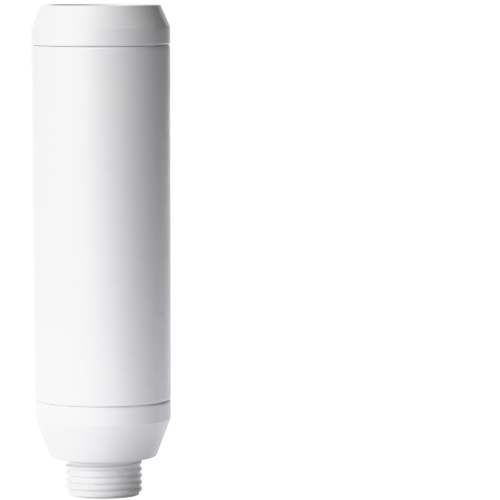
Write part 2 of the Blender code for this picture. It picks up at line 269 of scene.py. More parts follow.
def camelName(node):     # a node of one word gets a second, so that no two names are the same
    first, *others = node.split("_")
    return first + "".join(word.title() for word in others or ["tube"])


def turnedPiece(node, slot, corners, steps, body="filter_body", closed=True, more=(),
                stretch=outlineDetail["stretch"], thread=None, threadRadius=-1.0):
    name = camelName(node)
    outline = outlineMesh(name, corners, closed, threadRadius, stretch)
    mesh = runTree(name, outline, [turnSteps(finishes[slot], steps, thread)] + list(more))
    placePiece(name, mesh, body, node)


def blockRingTree(operation):          # equal blocks on a circle, joined to or cut from the piece
    graph, given = geometryGraph("blockRing" + operation.title(), {
        "Count": "Int", "Inner Radius": "Float", "Outer Radius": "Float", "Width": "Float",
        "Low": "Float", "High": "Float", "Material": "Material"})
    depth = given.of("Outer Radius") - given.of("Inner Radius")
    tall = given.of("High") - given.of("Low")
    size = graph.node("ShaderNodeCombineXYZ", None, {"X": depth, "Y": given.of("Width"), "Z": tall})
    cube = graph.node("GeometryNodeMeshCube", None, {"Size": size})
    middle = graph.node("ShaderNodeCombineXYZ", None, {
        "X": (given.of("Inner Radius") + given.of("Outer Radius")) / 2.0,
        "Z": (given.of("Low") + given.of("High")) / 2.0})
    shifted = graph.node("GeometryNodeTransform", None, {"Geometry": cube, "Translation": middle})
    hub = graph.node("GeometryNodePoints", None, {"Count": given.of("Count")})
    index = graph.node("GeometryNodeInputIndex")
    turn = graph.node("ShaderNodeCombineXYZ", None, {"Z": index / given.of("Count") * tau})
    blocks = graph.node("GeometryNodeInstanceOnPoints", None,
                        {"Points": hub, "Instance": shifted, "Rotation": turn})
    solid = graph.node("GeometryNodeRealizeInstances", None, {"Geometry": blocks})
    # a union takes both meshes on its second socket, and a cut takes the piece on its first
    pieceSocket = "Mesh 1" if operation == "DIFFERENCE" else "Mesh 2"
    joined = graph.node("GeometryNodeMeshBoolean", {"operation": operation, "solver": "EXACT"},
                        {pieceSocket: given.of("Geometry")})
    graph.tree.links.new(solid.socket, joined.socket.node.inputs["Mesh 2"])
    return endTree(graph, given, joined)


def holePlateTree():                   # round holes on rings about Z, cut through the piece
    graph, given = geometryGraph("holePlate", {
        "Hole Radius": "Float", "Low": "Float", "High": "Float", "Ring Gap": "Float",
        "Rings": "Int", "Hole Steps": "Int", "Material": "Material"})
    # ring n holds 6 n holes, so there are 1 + 3 n (n + 1) up to ring n
    rings = given.of("Rings")
    count = 3.0 * rings * (rings + 1.0) + 1.0
    index = graph.node("GeometryNodeInputIndex")
    root = graph.math("SQRT", graph.math("MAXIMUM", 12.0 * index - 3.0, 0.0))
    ring = graph.math("CEIL", graph.math("MAXIMUM", (root - 3.0) / 6.0 + 0.001, 0.0))
    ring = graph.math("MINIMUM", ring, index)
    first = 3.0 * ring * (ring - 1.0) + 1.0
    share = (index - first) / graph.math("MAXIMUM", 6.0 * ring, 1.0)
    reach = ring * given.of("Ring Gap")
    place = graph.node("ShaderNodeCombineXYZ", None, {
        "X": reach * graph.math("COSINE", share * tau), "Y": reach * graph.math("SINE", share * tau),
        "Z": (given.of("Low") + given.of("High")) / 2.0})
    points = graph.node("GeometryNodePoints", None, {"Count": count, "Position": place})
    drill = graph.node("GeometryNodeMeshCylinder", None, {
        "Vertices": given.of("Hole Steps"), "Radius": given.of("Hole Radius"),
        "Depth": (given.of("High") - given.of("Low")) * 2.0})
    drills = graph.node("GeometryNodeRealizeInstances", None, {"Geometry": graph.node(
        "GeometryNodeInstanceOnPoints", None, {"Points": points, "Instance": drill})})
    drilled = graph.node("GeometryNodeMeshBoolean", {"operation": "DIFFERENCE", "solver": "EXACT"},
                         {"Mesh 1": given.of("Geometry"), "Mesh 2": drills})
    return endTree(graph, given, drilled)


def wovenTree():                       # two families of wires that pass over and under each other
    graph, given = geometryGraph("wovenWire", {
        "Radius": "Float", "Spacing": "Float", "Wire Radius": "Float", "Height": "Float",
        "Wires": "Int", "Samples": "Int", "Wire Sides": "Int", "Material": "Material"})
    wires = given.of("Wires")
    samples = given.of("Samples")
    spacing = given.of("Spacing")
    index = graph.node("GeometryNodeInputIndex")
    wire = graph.math("FLOOR", (index + 0.5) / samples)
    share = (index - wire * samples) / (samples - 1.0) * 2.0 - 1.0
    across = (wire - (wires - 1.0) / 2.0) * spacing
    half = graph.math("SQRT", given.of("Radius") * given.of("Radius") - across * across)
    along = share * half
    wave = graph.math("COSINE", (along / spacing + (wires - 1.0) / 2.0 + wire) * math.pi)
    families = []
    for side in (1.0, -1.0):
        height = given.of("Height") + wave * given.of("Wire Radius") * side
        place = graph.node("ShaderNodeCombineXYZ", None, {
            "X": along if side > 0 else across, "Y": across if side > 0 else along, "Z": height})
        points = graph.node("GeometryNodePoints", None, {"Count": wires * samples, "Position": place})
        curves = graph.node("GeometryNodePointsToCurves", None,
                            {"Points": points, "Curve Group ID": wire})
        section = graph.node("GeometryNodeCurvePrimitiveCircle", None, {
            "Resolution": given.of("Wire Sides"), "Radius": given.of("Wire Radius")})
        families.append(graph.node("GeometryNodeCurveToMesh", None, {
            "Curve": curves, "Profile Curve": section, "Fill Caps": True}))
    both = graph.node("GeometryNodeJoinGeometry")
    for geometry in [given.of("Geometry")] + families:
        graph.tree.links.new(geometry.socket, both.socket.node.inputs[0])
    return endTree(graph, given, both)


def springTree():                      # round wire wound with close end coils
    graph, given = geometryGraph("woundSpring", {
        "Coil Radius": "Float", "Wire Radius": "Float", "Low": "Float", "Turns": "Float",
        "End Turns": "Float", "End Pitch": "Float", "Open Pitch": "Float", "Samples": "Int",
        "Wire Sides": "Int", "Material": "Material"})
    index = graph.node("GeometryNodeInputIndex")
    turn = index / (given.of("Samples") - 1.0) * given.of("Turns")
    loose = graph.math("MINIMUM", graph.math("MAXIMUM", turn - given.of("End Turns"), 0.0),
                       given.of("Turns") - given.of("End Turns") * 2.0)
    height = given.of("Low") + turn * given.of("End Pitch") \
        + loose * (given.of("Open Pitch") - given.of("End Pitch"))
    place = graph.node("ShaderNodeCombineXYZ", None, {
        "X": given.of("Coil Radius") * graph.math("COSINE", turn * tau),
        "Y": given.of("Coil Radius") * graph.math("SINE", turn * tau), "Z": height})
    points = graph.node("GeometryNodePoints", None,
                        {"Count": given.of("Samples"), "Position": place})
    curve = graph.node("GeometryNodePointsToCurves", None, {"Points": points})
    section = graph.node("GeometryNodeCurvePrimitiveCircle", None, {
        "Resolution": given.of("Wire Sides"), "Radius": given.of("Wire Radius")})
    wire = graph.node("GeometryNodeCurveToMesh", None,
                      {"Curve": curve, "Profile Curve": section, "Fill Caps": True})
    return endTree(graph, given, wire)


def granuleTree():                     # a bed's surface covered with broken granules
    graph, given = geometryGraph("granuleBed", {
        "Density": "Float", "Granule Radius": "Float", "Seed": "Int", "Material": "Material"})
    core = given.of("Geometry")
    points = graph.node("GeometryNodeDistributePointsOnFaces", None,
                        {"Mesh": core, "Density": given.of("Density"), "Seed": given.of("Seed")})
    stone = graph.node("GeometryNodeMeshIcoSphere", None,
                       {"Radius": given.of("Granule Radius"), "Subdivisions": 1})
    turn = graph.node("FunctionNodeRandomValue", {"data_type": "FLOAT_VECTOR"},
                      {"Max": (tau, tau, tau), "Seed": given.of("Seed")})
    stretch = graph.node("FunctionNodeRandomValue", {"data_type": "FLOAT_VECTOR"},
                         {"Min": (0.55, 0.6, 0.5), "Max": (1.0, 1.0, 1.0), "Seed": given.of("Seed")})
    stones = graph.node("GeometryNodeInstanceOnPoints", None, {
        "Points": points, "Instance": stone, "Rotation": turn, "Scale": stretch})
    both = graph.node("GeometryNodeJoinGeometry")
    for geometry in (core, stones):
        graph.tree.links.new(geometry.socket, both.socket.node.inputs[0])
    return endTree(graph, given, both)


def feltTree():                        # a pad whose surface is pushed about like pressed fibre
    graph, given = geometryGraph("feltPad", {
        "Rise": "Float", "Fibre Scale": "Float", "Material": "Material"})
    normal = graph.node("GeometryNodeInputNormal")
    noise = graph.node("ShaderNodeTexNoise", None,
                       {"Scale": given.of("Fibre Scale"), "Detail": 3.0, "Roughness": 0.65})
    push = (noise - 1.0) * given.of("Rise")
    offset = graph.node("ShaderNodeVectorMath", {"operation": "SCALE"}, {0: normal, "Scale": push})
    pushed = graph.node("GeometryNodeSetPosition", None,
                        {"Geometry": given.of("Geometry"), "Offset": offset})
    return endTree(graph, given, pushed)


def shaderGraph(name, constants):
    material = bpy.data.materials.new(name)
    material.use_nodes = True
    material.node_tree.nodes.clear()
    graph = Graph(material.node_tree)
    shader = graph.node("ShaderNodeBsdfPrincipled", None, constants)
    graph.node("ShaderNodeOutputMaterial", None, {"Surface": shader})
    place = graph.node("ShaderNodeTexCoord", output="Object")
    return material, graph, shader.socket.node, place


def noiseOf(graph, place, scale, detail=2.0, roughness=0.5):
    return graph.node("ShaderNodeTexNoise", None, {
        "Vector": place, "Scale": scale, "Detail": detail, "Roughness": roughness})


def mixColour(graph, factor, first, second):
    return graph.node("ShaderNodeMix", {"data_type": "RGBA"},
                      {0: factor, 6: first, 7: second}, 2)


def bumpOf(graph, height, distance, strength=1.0, under=None):
    inputs = {"Height": height, "Distance": distance, "Strength": strength}
    if under is not None:
        inputs["Normal"] = under
    return graph.node("ShaderNodeBump", None, inputs)


def mouldedPlastic(name, finish):
    # satin-gloss moulding: fine orange peel, slight tint drift, handling marks in the gloss
    material, graph, shader, place = shaderGraph(name, {"IOR": 1.5})
    drift = noiseOf(graph, place, finish["driftScale"], 3.0)
    colour = mixColour(graph, graph.ramp(drift, 0.35, 0.65), finish["colour"], finish["shade"])
    specks = graph.node("ShaderNodeTexVoronoi", {"feature": "F1"},
                        {"Vector": place, "Scale": finish["speckScale"]})
    patches = noiseOf(graph, place, finish["speckScale"] * finish["speckPatch"])
    speck = graph.ramp(specks, 0.05, 0.02, 0.0, finish["speckDepth"]) * graph.ramp(patches, 0.56, 0.64)
    colour = mixColour(graph, speck, colour, finish["speckColour"])
    graph.plug(shader.inputs["Base Color"], colour)
    smudge = graph.ramp(noiseOf(graph, place, finish["smudgeScale"], 4.0, 0.6), 0.4, 0.7)
    grain = noiseOf(graph, place, finish["grainScale"], 2.0)
    graph.plug(shader.inputs["Roughness"],
               smudge * finish["smudge"] + grain * finish["grainGloss"] + finish["roughness"])
    peel = noiseOf(graph, place, finish["peelScale"], 1.0)
    broad = bumpOf(graph, peel, finish["peel"] * mm)
    fine = bumpOf(graph, grain, finish["grain"] * mm, 1.0, broad)
    graph.plug(shader.inputs["Normal"], fine)
    return material


whiteFinish = {"colour": (0.86, 0.86, 0.87, 1), "shade": (0.845, 0.845, 0.86, 1),
               "driftScale": 38.0, "speckScale": 900.0, "speckPatch": 0.13, "speckDepth": 0.25,
               "speckColour": (0.45, 0.44, 0.42, 1), "smudgeScale": 90.0, "smudge": 0.05,
               "roughness": 0.26, "peelScale": 420.0, "peel": 0.0025, "grainScale": 5200.0,
               "grain": 0.0005, "grainGloss": 0.03}
greyFinish = dict(whiteFinish, colour=(0.66, 0.67, 0.69, 1), shade=(0.62, 0.63, 0.655, 1),
                  roughness=0.34, peel=0.006, grain=0.0015)
naturalFinish = dict(whiteFinish, colour=(0.80, 0.80, 0.74, 1), shade=(0.74, 0.74, 0.67, 1),
                     roughness=0.38, peel=0.008, grain=0.002)


rubberFinish = {"colour": (0.018, 0.018, 0.019, 1), "dust": (0.10, 0.10, 0.10, 1), "dusting": 0.8,
                "cloudScale": 160.0, "cloudGloss": 0.1, "powderScale": 3500.0, "powderGloss": 0.18,
                "roughness": 0.48, "grain": 0.004}


def rubberMaterial(name, finish):      # dark rubber with traces of moulding powder
    material, graph, shader, place = shaderGraph(name, {"IOR": 1.5})
    cloud = graph.ramp(noiseOf(graph, place, finish["cloudScale"], 4.0, 0.6), 0.45, 0.75)
    powder = noiseOf(graph, place, finish["powderScale"], 2.0)
    tone = mixColour(graph, cloud * powder * finish["dusting"], finish["colour"], finish["dust"])
    graph.plug(shader.inputs["Base Color"], tone)
    graph.plug(shader.inputs["Roughness"], powder * finish["powderGloss"]
               + cloud * finish["cloudGloss"] + finish["roughness"])
    graph.plug(shader.inputs["Normal"], bumpOf(graph, powder, finish["grain"] * mm))
    return material


steelFinish = {"cool": (0.60, 0.60, 0.62, 1), "warm": (0.66, 0.64, 0.61, 1), "driftScale": 120.0,
               "streakScale": 1400.0, "streak": 1.0, "streakGloss": 0.16, "roughness": 0.26,
               "grain": 0.0015}
wireFinish = dict(steelFinish, streak=6.0)


def steelMaterial(name, finish):
    # drawn or etched stainless: fine streaks and a faint warm and cool drift
    material, graph, shader, place = shaderGraph(name, {"Metallic": 1.0})
    squeezed = graph.vector("MULTIPLY", place, (1.0, 1.0, finish["streak"]))
    lines = noiseOf(graph, squeezed, finish["streakScale"], 3.0)
    drift = graph.ramp(noiseOf(graph, place, finish["driftScale"], 2.0), 0.35, 0.65)
    graph.plug(shader.inputs["Base Color"], mixColour(graph, drift, finish["cool"], finish["warm"]))
    graph.plug(shader.inputs["Roughness"], lines * finish["streakGloss"] + finish["roughness"])
    graph.plug(shader.inputs["Normal"], bumpOf(graph, lines, finish["grain"] * mm))
    return material


feltFinish = {"dark": (0.70, 0.69, 0.65, 1), "light": (0.90, 0.89, 0.86, 1),
              "stain": (0.74, 0.70, 0.62, 1), "staining": 0.25, "cloudScale": 180.0,
              "fibreScale": 1600.0, "fibreLie": 4.0, "fibreGloss": 0.1, "roughness": 0.85,
              "grain": 0.06, "sheen": 0.35, "sheenRoughness": 0.5}


def feltMaterial(name, finish):        # fibres lie flat, so the noise is squeezed along Z
    material, graph, shader, place = shaderGraph(name, {
        "Sheen Weight": finish["sheen"], "Sheen Roughness": finish["sheenRoughness"]})
    flattened = graph.vector("MULTIPLY", place, (1.0, 1.0, finish["fibreLie"]))
    fibre = noiseOf(graph, flattened, finish["fibreScale"], 5.0, 0.7)
    cloud = noiseOf(graph, place, finish["cloudScale"], 2.0)
    tone = mixColour(graph, graph.ramp(fibre, 0.3, 0.7), finish["dark"], finish["light"])
    stained = mixColour(graph, graph.ramp(cloud, 0.5, 0.8) * finish["staining"], tone, finish["stain"])
    graph.plug(shader.inputs["Base Color"], stained)
    graph.plug(shader.inputs["Roughness"], fibre * finish["fibreGloss"] + finish["roughness"])
    graph.plug(shader.inputs["Normal"], bumpOf(graph, fibre, finish["grain"] * mm))
    return material


carbonFinish = {"dark": (0.006, 0.006, 0.006, 1), "light": (0.05, 0.05, 0.052, 1), "metallic": 0.0,
                "roughness": 0.55, "cellScale": 950.0, "cellShare": 0.6, "poreScale": 2600.0,
                "poreShare": 0.4, "poreGloss": 0.25, "grain": 0.05}
copperZincFinish = dict(carbonFinish, dark=(0.22, 0.12, 0.03, 1), light=(0.72, 0.52, 0.22, 1),
                        metallic=0.85, roughness=0.3)


def granuleMaterial(name, finish):     # each granule has its own tone, and pores in its surface
    material, graph, shader, place = shaderGraph(name, {"Metallic": finish["metallic"]})
    cells = graph.node("ShaderNodeTexVoronoi", None, {"Vector": place, "Scale": finish["cellScale"]},
                       "Color")
    cell = graph.node("ShaderNodeSeparateXYZ", None, {"Vector": cells})
    pores = noiseOf(graph, place, finish["poreScale"], 4.0, 0.7)
    tone = cell * finish["cellShare"] + pores * finish["poreShare"]
    graph.plug(shader.inputs["Base Color"], mixColour(graph, tone, finish["dark"], finish["light"]))
    graph.plug(shader.inputs["Roughness"], pores * finish["poreGloss"] + finish["roughness"])
    graph.plug(shader.inputs["Normal"], bumpOf(graph, pores, finish["grain"] * mm))
    return material


finishes = {            # by the record's material slot
    "white_plastic": mouldedPlastic("whitePlastic", whiteFinish),
    "grey_plastic": mouldedPlastic("greyPlastic", greyFinish),
    "natural_plastic": mouldedPlastic("naturalPlastic", naturalFinish),
    "black_rubber": rubberMaterial("blackRubber", rubberFinish),
    "steel_mesh": steelMaterial("steelMesh", steelFinish),
    "spring_steel": steelMaterial("springSteel", wireFinish),
    "filter_felt": feltMaterial("filterFelt", feltFinish),
    "carbon_granules": granuleMaterial("carbonGranules", carbonFinish),
    "copper_zinc_granules": granuleMaterial("copperZincGranules", copperZincFinish)}
print("materials ready")

# the tube's two ends reach into the seams, so that only a hairline is left open
housing = {"footRadius": 18.5, "boreRadius": 16.3, "topLip": 0.7, "footLip": 0.7,
           "topReach": 0.12, "footReach": 0.10, "boreLip": 0.3, "steps": 192}


def makeHousing():
    topRadius, foot, top = boxOf("housing_tube")
    foot = foot - housing["footReach"]
    top = top + housing["topReach"]
    bore = housing["boreRadius"]
    turnedPiece("housing_tube", "white_plastic", [
        (topRadius, top, housing["topLip"]), (housing["footRadius"], foot, housing["footLip"]),
        (bore, foot, housing["boreLip"]), (bore, top, housing["boreLip"])], housing["steps"])


outletCap = {"neckLength": 10.5, "rootRadius": 9.70, "shoulderRadius": 14.5, "shoulder": 0.6,
             "bandLow": 21.0, "bend": 0.8, "bandTop": 26.11, "bandLip": 0.6, "skirtRadius": 16.0,
             "grooveLow": 29.0, "grooveWidth": 2.2, "grooveDepth": 1.8, "edge": 0.15,
             "boreRadius": 7.3, "floor": 13.5, "chamberRadius": 12.4, "chamberLow": 15.5,
             "waterway": 0.8, "endEdge": 0.1, "steps": 192}
maleThread = {"Pitch": 25.4 / 14, "Depth": 0.78, "Thread Low": 0.8, "Thread High": 9.75,
              "Start Turn": 0.57, "Run Out": 0.12, "Crest": 0.17, "Groove": 0.40}


def makeOutletCap():
    bandRadius, foot, skirtTop = boxOf("outlet_cap")
    cap = outletCap
    edge = cap["edge"]
    grooveTop = cap["grooveLow"] + cap["grooveWidth"]
    grooveRadius = cap["skirtRadius"] - cap["grooveDepth"]
    corners = [(cap["skirtRadius"], skirtTop, 3 * edge), (cap["skirtRadius"], grooveTop, edge),
               (grooveRadius, grooveTop, 2 * edge), (grooveRadius, cap["grooveLow"], 2 * edge),
               (cap["skirtRadius"], cap["grooveLow"], edge), (cap["skirtRadius"], cap["bandTop"], edge),
               (bandRadius, cap["bandTop"], cap["bandLip"]), (bandRadius, cap["bandLow"], cap["bend"]),
               (cap["shoulderRadius"], cap["neckLength"], cap["shoulder"]),
               (cap["rootRadius"], cap["neckLength"], edge), (cap["rootRadius"], foot, cap["endEdge"]),
               (cap["boreRadius"], foot, 3 * edge), (cap["boreRadius"], cap["floor"], cap["waterway"]),
               (cap["chamberRadius"], cap["chamberLow"], cap["waterway"]),
               (cap["chamberRadius"], skirtTop, 2 * edge)]
    turnedPiece("outlet_cap", "white_plastic", corners, cap["steps"],
                thread=maleThread, threadRadius=cap["rootRadius"])


makeHousing()
makeOutletCap()
print("housing and outlet cap ready")

collar = {"bandTop": 127.4, "bend": 0.9, "rimRadius": 16.2, "boreRadius": 14.6, "wall": 1.6,
          "rimEdge": 0.45, "rimLand": 0.8, "footLip": 0.6, "footReach": 0.10, "inner": 0.4,
          "innerBend": 127.0, "ribs": 6, "ribInner": 15.7, "ribWidth": 2.0, "ribLow": 123.0,
          "ribTop": 126.6, "steps": 192}


def blocks(material, count, inner, outer, width, low, high):
    return {"Count": count, "Inner Radius": inner * mm, "Outer Radius": outer * mm,
            "Width": width * mm, "Low": low * mm, "High": high * mm, "Material": material}


def makeCollar():
    radius, foot, rim = boxOf("collar_shell")
    foot = foot - collar["footReach"]
    inside = radius - collar["wall"]
    corners = [(collar["rimRadius"], rim, collar["rimEdge"]), (radius, collar["bandTop"], collar["bend"]),
               (radius, foot, collar["footLip"]), (inside, foot, collar["inner"]),
               (inside, collar["innerBend"], collar["inner"]),
               (collar["boreRadius"], rim - collar["rimLand"], collar["inner"]),
               (collar["boreRadius"], rim, collar["rimEdge"])]
    ribs = blocks(finishes["white_plastic"], collar["ribs"], collar["ribInner"],
                  inside + collar["wall"] / 2, collar["ribWidth"], collar["ribLow"], collar["ribTop"])
    turnedPiece("collar_shell", "white_plastic", corners, collar["steps"], "swivel_collar",
                more=[(blockRingTree("UNION"), ribs)])


nut = {"lipTop": 118.0, "lipBore": 7.9, "chamberRadius": 9.5, "chamberTop": 123.5,
       "rootRadius": 10.6, "upperRadius": 12.7, "lowerRadius": 13.4, "flangeRadius": 16.9,
       "flangeLow": 123.3, "flangeTop": 125.3, "notchInner": 15.4, "notchWidth": 2.6,
       "mouth": 0.6, "edge": 0.3, "overrun": 0.5, "steps": 160}
femaleThread = {"Pitch": 25.4 / 14, "Depth": -1.22, "Thread Low": 124.8, "Thread High": 130.3,
                "Start Turn": 0.0, "Run Out": 0.12, "Crest": 0.12, "Groove": 0.42}


def makeNut():
    foot, top = boxOf("swivel_nut")[1:]
    edge = nut["edge"]
    corners = [(nut["upperRadius"], top, edge), (nut["upperRadius"], nut["flangeTop"], edge),
               (nut["flangeRadius"], nut["flangeTop"], edge), (nut["flangeRadius"], nut["flangeLow"], edge),
               (nut["lowerRadius"], nut["flangeLow"], edge), (nut["lowerRadius"], foot, edge),
               (nut["lipBore"], foot, edge), (nut["lipBore"], nut["lipTop"], edge),
               (nut["chamberRadius"], nut["lipTop"], edge / 2),
               (nut["chamberRadius"], nut["chamberTop"], edge / 2),
               (nut["rootRadius"], nut["chamberTop"], edge / 2),
               (nut["rootRadius"], top - nut["mouth"], edge / 2),
               (nut["rootRadius"] + nut["mouth"], top, edge / 3)]
    notches = blocks(finishes["grey_plastic"], collar["ribs"], nut["notchInner"],
                     nut["flangeRadius"] + nut["overrun"], nut["notchWidth"],
                     nut["flangeLow"] - nut["overrun"], nut["flangeTop"] + nut["overrun"])
    turnedPiece("swivel_nut", "grey_plastic", corners, nut["steps"], "swivel_collar",
                more=[(blockRingTree("DIFFERENCE"), notches)],
                thread=femaleThread, threadRadius=nut["rootRadius"])


makeCollar()
makeNut()
print("swivel collar ready")

inletHead = {"grooveLow": 113.1, "grooveWidth": 2.2, "grooveDepth": 1.8, "underside": 112.5,
             "hubRadius": 10.5, "hubBore": 7.9, "recessFloor": 115.9, "recessRadius": 13.8,
             "edge": 0.15, "steps": 144}


def makeInletHead():
    radius, foot, top = boxOf("inlet_head")
    head = inletHead
    edge = head["edge"]
    grooveTop = head["grooveLow"] + head["grooveWidth"]
    grooveRadius = radius - head["grooveDepth"]
    turnedPiece("inlet_head", "grey_plastic", [
        (radius, top, 3 * edge), (radius, grooveTop, edge), (grooveRadius, grooveTop, 2 * edge),
        (grooveRadius, head["grooveLow"], 2 * edge), (radius, head["grooveLow"], edge),
        (radius, head["underside"], edge), (head["hubRadius"], head["underside"], 3 * edge),
        (head["hubRadius"], foot, 3 * edge), (head["hubBore"], foot, 2 * edge),
        (head["hubBore"], head["recessFloor"], 2 * edge),
        (head["recessRadius"], head["recessFloor"], 3 * edge),
        (head["recessRadius"], top, 2 * edge)], head["steps"])


tailpiece = {"flangeLow": 119.4, "barrelRadius": 7.6, "boreRadius": 5.0, "grooveLow": 109.2,
             "grooveWidth": 1.8, "grooveDepth": 1.1, "edge": 0.15, "beadRise": 0.25,
             "beadRadius": 6.9, "beadHalf": 0.45, "steps": 128}


def makeTailpiece():      # the flange's sealing bead stays below the washer
    radius, foot, top = boxOf("tailpiece")
    tail = tailpiece
    edge = tail["edge"]
    grooveTop = tail["grooveLow"] + tail["grooveWidth"]
    grooveRadius = tail["barrelRadius"] - tail["grooveDepth"]
    face = top - tail["beadRise"]
    turnedPiece("tailpiece", "grey_plastic", [
        (tail["beadRadius"] + tail["beadHalf"], face), (radius, face, 2 * edge),
        (radius, tail["flangeLow"], 2 * edge), (tail["barrelRadius"], tail["flangeLow"], 2 * edge),
        (tail["barrelRadius"], grooveTop, edge), (grooveRadius, grooveTop, edge),
        (grooveRadius, tail["grooveLow"], edge), (tail["barrelRadius"], tail["grooveLow"], edge),
        (tail["barrelRadius"], foot, 3 * edge), (tail["boreRadius"], foot, 3 * edge),
        (tail["boreRadius"], face, 3 * edge), (tail["beadRadius"] - tail["beadHalf"], face),
        (tail["beadRadius"], top, edge)], tail["steps"])


slipRing = {"boreRadius": 7.9, "edge": 0.12, "steps": 96}


def makeSlipRing():
    radius, foot, top = boxOf("slip_ring")
    turnedPiece("slip_ring", "natural_plastic", [
        (radius, top, slipRing["edge"]), (radius, foot, slipRing["edge"]),
        (slipRing["boreRadius"], foot, slipRing["edge"]),
        (slipRing["boreRadius"], top, slipRing["edge"])], slipRing["steps"])


hoseWasher = {"boreRadius": 6.2, "slotRadius": 7.2, "slotHalf": 0.35, "edge": 0.35, "tip": 0.1,
              "ridgeRise": 0.18, "ridgeHalf": 0.22, "ridges": (7.2, 8.2), "steps": 128}


def makeHoseWasher():     # two fine sealing ridges run round each face
    radius, foot, top = boxOf("hose_washer")
    washer = hoseWasher
    middle = (foot + top) / 2
    rise = washer["ridgeRise"]
    corners = [(radius, top - rise, washer["edge"]), (radius, foot + rise, washer["edge"])]
    for ridge in reversed(washer["ridges"]):
        corners += [(ridge + washer["ridgeHalf"], foot + rise), (ridge, foot, washer["tip"]),
                    (ridge - washer["ridgeHalf"], foot + rise)]
    corners += [(washer["boreRadius"], foot + rise, washer["edge"]),
                (washer["boreRadius"], middle - washer["slotHalf"], washer["tip"]),
                (washer["slotRadius"], middle - washer["slotHalf"], washer["tip"]),
                (washer["slotRadius"], middle + washer["slotHalf"], washer["tip"]),
                (washer["boreRadius"], middle + washer["slotHalf"], washer["tip"]),
                (washer["boreRadius"], top - rise, washer["edge"])]
    for ridge in washer["ridges"]:
        corners += [(ridge - washer["ridgeHalf"], top - rise), (ridge, top, washer["tip"]),
                    (ridge + washer["ridgeHalf"], top - rise)]
    turnedPiece("hose_washer", "black_rubber", corners, washer["steps"], "strainer")


oRings = {"nodes": ("outlet_cap_o_ring", "inlet_head_o_ring", "tailpiece_o_ring"),
          "cordSteps": 22, "steps": 128}


def makeORing(node):
    radius, foot, top = boxOf(node)
    cord = (top - foot) / 2
    corners = []
    for step in range(oRings["cordSteps"]):
        angle = -tau * step / oRings["cordSteps"]
        corners.append((radius - cord + cord * math.cos(angle), foot + cord + cord * math.sin(angle)))
    turnedPiece(node, "black_rubber", corners, oRings["steps"])


makeInletHead()
makeTailpiece()
makeSlipRing()
makeHoseWasher()
for node in oRings["nodes"]:
    makeORing(node)
print("inlet head, tailpiece and seals ready")

plates = {"outlet_grid": "natural_plastic", "spring_plate": "grey_plastic"}
plate = {"rimWidth": 1.6, "rimRise": 0.35, "edge": 0.2, "holeRadius": 1.6, "ringGap": 5.4,
         "rings": 2, "holeSteps": 24, "steps": 128}


def makePlate(node, slot):   # a raised rim on both faces, and holes on two rings
    radius, foot, top = boxOf(node)
    floor = plate["rimRise"]
    inner = radius - plate["rimWidth"]
    holes = {"Hole Radius": plate["holeRadius"] * mm, "Low": foot * mm, "High": top * mm,
             "Ring Gap": plate["ringGap"] * mm, "Rings": plate["rings"],
             "Hole Steps": plate["holeSteps"], "Material": finishes[slot]}
    corners = [(0.0, top - floor), (inner - floor, top - floor, plate["edge"]),
               (inner, top, plate["edge"]), (radius, top, plate["edge"]),
               (radius, foot, plate["edge"]), (inner, foot, plate["edge"]),
               (inner - floor, foot + floor, plate["edge"]), (0.0, foot + floor)]
    turnedPiece(node, slot, corners, plate["steps"], closed=False, more=[(holePlate, holes)])


stackScreen = {"body": "filter_body", "spacing": 1.25, "wireRadius": 0.1, "rimWidth": 0.8}
screens = {"outlet_screen": stackScreen, "inlet_screen": stackScreen,
           "strainer_screen": {"body": "strainer", "spacing": 0.6, "wireRadius": 0.075, "rimWidth": 0.6}}
weaving = {"samples": 130, "wireSides": 5, "clear": 0.2, "rimRound": 0.9, "steps": 128}


def makeScreen(node, screen):         # wires run into a thin rolled rim
    radius, foot, top = boxOf(node)
    half = (top - foot) / 2
    roll = half * weaving["rimRound"]
    inner = radius - screen["rimWidth"]
    reach = radius - screen["rimWidth"] / 2
    wires = 2 * math.floor(reach / screen["spacing"] - weaving["clear"]) + 1
    weave = {"Radius": reach * mm, "Spacing": screen["spacing"] * mm,
             "Wire Radius": screen["wireRadius"] * mm, "Height": (foot + half) * mm, "Wires": wires,
             "Samples": weaving["samples"], "Wire Sides": weaving["wireSides"],
             "Material": finishes["steel_mesh"]}
    turnedPiece(node, "steel_mesh", [
        (radius, top, roll), (radius, foot, roll), (inner, foot, roll), (inner, top, roll)],
        weaving["steps"], screen["body"], more=[(wovenWire, weave)])


felts = {"nodes": ("outlet_felt", "divider_felt", "inlet_felt"), "edge": 0.6, "rise": 0.35,
         "fibreScale": 900.0, "stretch": 0.45, "steps": 176}


def makeFelt(node):
    radius, foot, top = boxOf(node)
    push = {"Rise": felts["rise"] * mm, "Fibre Scale": felts["fibreScale"],
            "Material": finishes["filter_felt"]}
    turnedPiece(node, "filter_felt", [
        (0.0, top), (radius, top, felts["edge"]), (radius, foot, felts["edge"]), (0.0, foot)],
        felts["steps"], closed=False, stretch=felts["stretch"], more=[(feltPad, push)])


beds = {"carbon_bed": {"slot": "carbon_granules", "granule": 0.62, "density": 1.15, "seed": 3},
        "copper_zinc_bed": {"slot": "copper_zinc_granules", "granule": 0.45, "density": 1.9, "seed": 7}}
bedCore = {"edge": 0.4, "steps": 96}


def makeBed(node, bed):      # granules half sunk in a core, out to the bed's full size
    radius, foot, top = boxOf(node)
    inset = bed["granule"]
    pour = {"Density": bed["density"] / mm / mm, "Granule Radius": bed["granule"] * mm,
            "Seed": bed["seed"], "Material": finishes[bed["slot"]]}
    turnedPiece(node, bed["slot"], [
        (0.0, top - inset), (radius - inset, top - inset, bedCore["edge"]),
        (radius - inset, foot + inset, bedCore["edge"]), (0.0, foot + inset)],
        bedCore["steps"], closed=False, more=[(granuleBed, pour)])


spring = {"wireRadius": 0.7, "turns": 3.5, "endTurns": 0.75, "endGap": 0.05, "samples": 260,
          "wireSides": 16}


